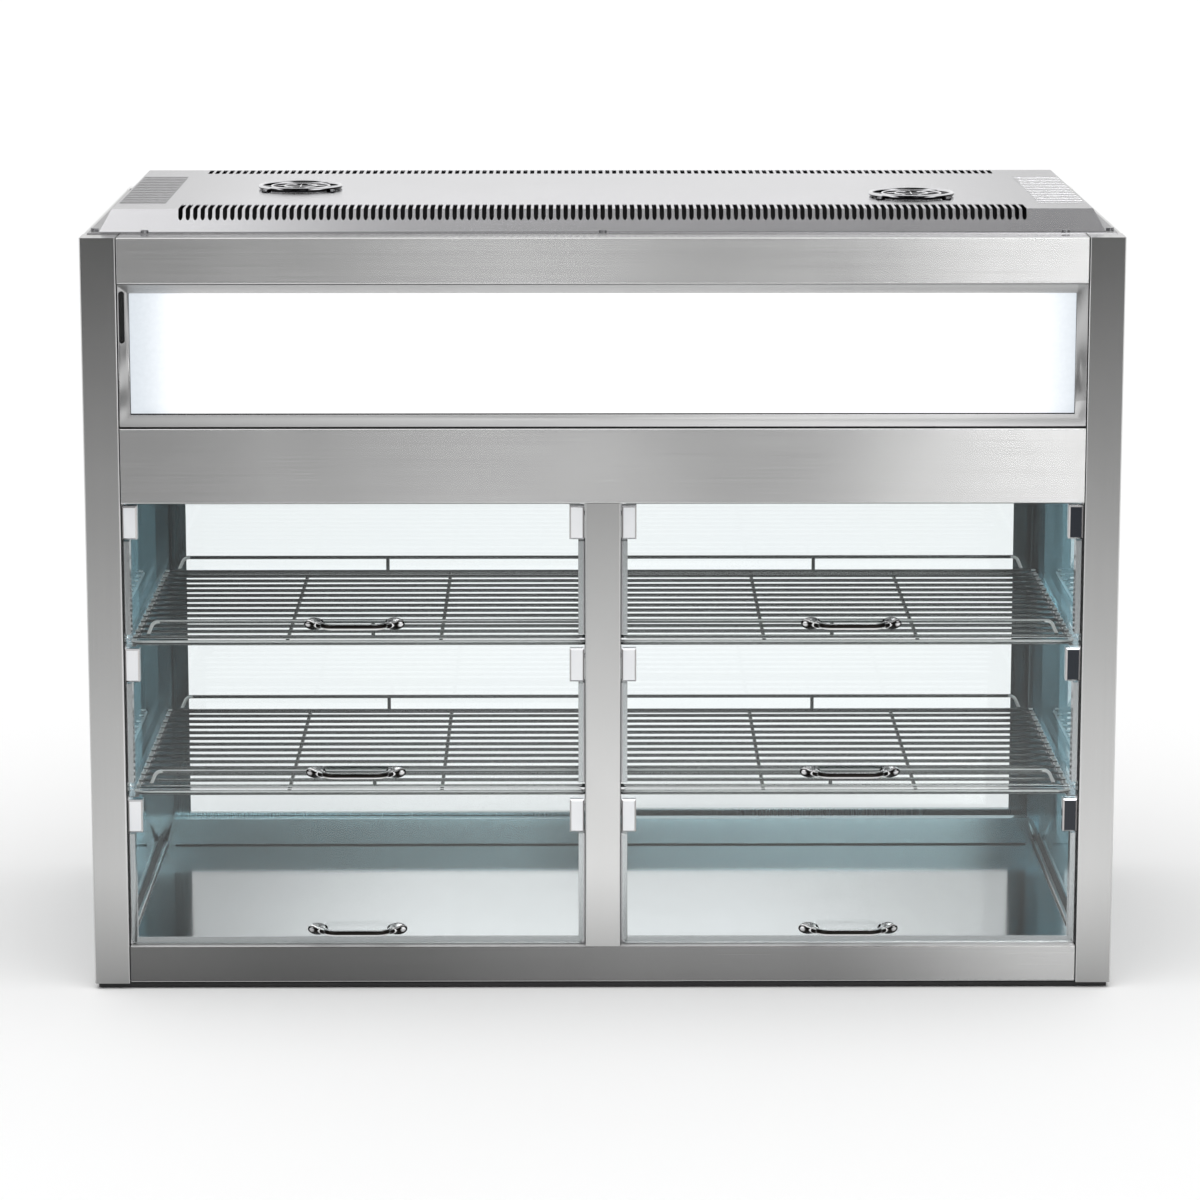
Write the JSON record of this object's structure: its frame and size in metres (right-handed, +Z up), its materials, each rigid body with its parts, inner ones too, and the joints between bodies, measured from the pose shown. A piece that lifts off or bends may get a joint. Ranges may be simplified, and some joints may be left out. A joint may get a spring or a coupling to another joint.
{
  "type": "pass-through display case",
  "caption": "Stainless steel and glass heated display case with top-hung glass flaps, wire racks, a lit panel over the doors and rear sliding doors.",
  "frame": {"origin": "centre of the footprint, on the ground under the feet", "axes": "+Z up, front with the flap doors towards -Y, +X to the right seen from the front"},
  "size_m": [1.4, 0.7406, 1.0772],
  "materials": {
    "steel_v": "brushed steel",
    "steel_h": "brushed steel",
    "steel_d": "brushed steel",
    "floor_steel": "brushed steel",
    "ceiling_steel": "brushed steel",
    "stop_steel": "brushed steel",
    "trim_steel": "brushed steel",
    "bezel_steel": "brushed steel",
    "cover_steel": "brushed steel",
    "aluminium": "aluminium",
    "slide_alu": "aluminium",
    "side_glass": "glass",
    "door_glass": "glass",
    "rear_glass": "glass",
    "bead": "rubber",
    "galvanised": "painted metal",
    "rubber": "rubber",
    "opal": "gloss plastic",
    "white_paint": "painted metal",
    "lamp": "gloss plastic",
    "chrome": "chrome",
    "clamp_chrome": "chrome",
    "handle_chrome": "chrome",
    "rack_chrome": "chrome",
    "guard_chrome": "chrome",
    "black_plastic": "matte plastic",
    "screw": "brushed steel",
    "heater": "brushed steel",
    "switch": "gloss plastic",
    "knob": "matte plastic",
    "gland": "matte plastic"
  },
  "bodies": {
    "cabinet": {"base_pan": "galvanised", "cable_gland": "gland", "ceiling_panel": "ceiling_steel", "centre_posts": "steel_v", "control_bodies": "black_plastic", "corner_posts": "steel_v", "cover_screws": "screw", "door_stops": "stop_steel", "fan_guards": "guard_chrome", "fan_housings": "black_plastic", "feet": "rubber", "floor_plate": "floor_steel", "front_bottom_rail": "steel_h", "front_mid_rail": "steel_h", "front_top_rail": "steel_h", "glazing_seals": "bead", "heating_elements": "heater", "hinge_pins": "chrome", "lamp_bars": "lamp", "light_bezel": "bezel_steel", "light_diffuser": "opal", "light_reflector": "white_paint", "lower_racks": "rack_chrome", "power_supply": "galvanised", "rack_runners": "stop_steel", "rear_bottom_rail": "steel_h", "rear_panel": "steel_h", "rear_top_track": "aluminium", "rear_trim": "trim_steel", "side_glass_panels": "side_glass", "side_header_panels": "steel_d", "side_rails": "steel_d", "top_cover": "cover_steel", "upper_racks": "rack_chrome"},
    "upper_left_door": {"upper_left_door_glass": "door_glass", "upper_left_door_clamps": "clamp_chrome", "upper_left_door_handle": "handle_chrome"},
    "upper_right_door": {"upper_right_door_glass": "door_glass", "upper_right_door_clamps": "clamp_chrome", "upper_right_door_handle": "handle_chrome"},
    "middle_left_door": {"middle_left_door_glass": "door_glass", "middle_left_door_clamps": "clamp_chrome", "middle_left_door_handle": "handle_chrome"},
    "middle_right_door": {"middle_right_door_glass": "door_glass", "middle_right_door_clamps": "clamp_chrome", "middle_right_door_handle": "handle_chrome"},
    "lower_left_door": {"lower_left_door_glass": "door_glass", "lower_left_door_clamps": "clamp_chrome", "lower_left_door_handle": "handle_chrome"},
    "lower_right_door": {"lower_right_door_glass": "door_glass", "lower_right_door_clamps": "clamp_chrome", "lower_right_door_handle": "handle_chrome"},
    "rear_left_door": {"rear_left_door_frame": "slide_alu", "rear_left_door_glass": "rear_glass"},
    "rear_right_door": {"rear_right_door_frame": "slide_alu", "rear_right_door_glass": "rear_glass"},
    "fan_left": {"fan_rotor_left": "black_plastic"},
    "fan_right": {"fan_rotor_right": "black_plastic"},
    "thermostat": {"thermostat_knob": "knob"},
    "switch": {"main_switch": "switch"}
  },
  "joints": [
    {"name": "upper_left_door_hinge", "type": "hinge", "parent": "cabinet", "child": "upper_left_door", "pos_m": [-0.338, -0.3315, 0.663], "axis": [-1, 0, 0], "range_deg": [0, 90]},
    {"name": "upper_right_door_hinge", "type": "hinge", "parent": "cabinet", "child": "upper_right_door", "pos_m": [0.338, -0.3315, 0.663], "axis": [-1, 0, 0], "range_deg": [0, 90]},
    {"name": "middle_left_door_hinge", "type": "hinge", "parent": "cabinet", "child": "middle_left_door", "pos_m": [-0.338, -0.3315, 0.466], "axis": [-1, 0, 0], "range_deg": [0, 90]},
    {"name": "middle_right_door_hinge", "type": "hinge", "parent": "cabinet", "child": "middle_right_door", "pos_m": [0.338, -0.3315, 0.466], "axis": [-1, 0, 0], "range_deg": [0, 90]},
    {"name": "lower_left_door_hinge", "type": "hinge", "parent": "cabinet", "child": "lower_left_door", "pos_m": [-0.338, -0.3315, 0.255], "axis": [-1, 0, 0], "range_deg": [0, 90]},
    {"name": "lower_right_door_hinge", "type": "hinge", "parent": "cabinet", "child": "lower_right_door", "pos_m": [0.338, -0.3315, 0.255], "axis": [-1, 0, 0], "range_deg": [0, 90]},
    {"name": "rear_left_door_slide", "type": "slide", "parent": "cabinet", "child": "rear_left_door", "axis": [1, 0, 0], "range_m": [0, 0.62]},
    {"name": "rear_right_door_slide", "type": "slide", "parent": "cabinet", "child": "rear_right_door", "axis": [-1, 0, 0], "range_m": [0, 0.62]},
    {"name": "fan_left_spin", "type": "hinge", "parent": "cabinet", "child": "fan_left", "pos_m": [-0.424, -0.005, 1.05], "axis": [0, 0, 1], "continuous": true},
    {"name": "fan_right_spin", "type": "hinge", "parent": "cabinet", "child": "fan_right", "pos_m": [0.429, -0.112, 1.05], "axis": [0, 0, 1], "continuous": true},
    {"name": "thermostat_turn", "type": "hinge", "parent": "cabinet", "child": "thermostat", "pos_m": [-0.33, 0.36, 0.86], "axis": [0, -1, 0], "range_deg": [0, 270]},
    {"name": "switch_rock", "type": "hinge", "parent": "cabinet", "child": "switch", "pos_m": [-0.48, 0.344, 0.86], "axis": [1, 0, 0], "range_deg": [0, 20]}
  ]
}
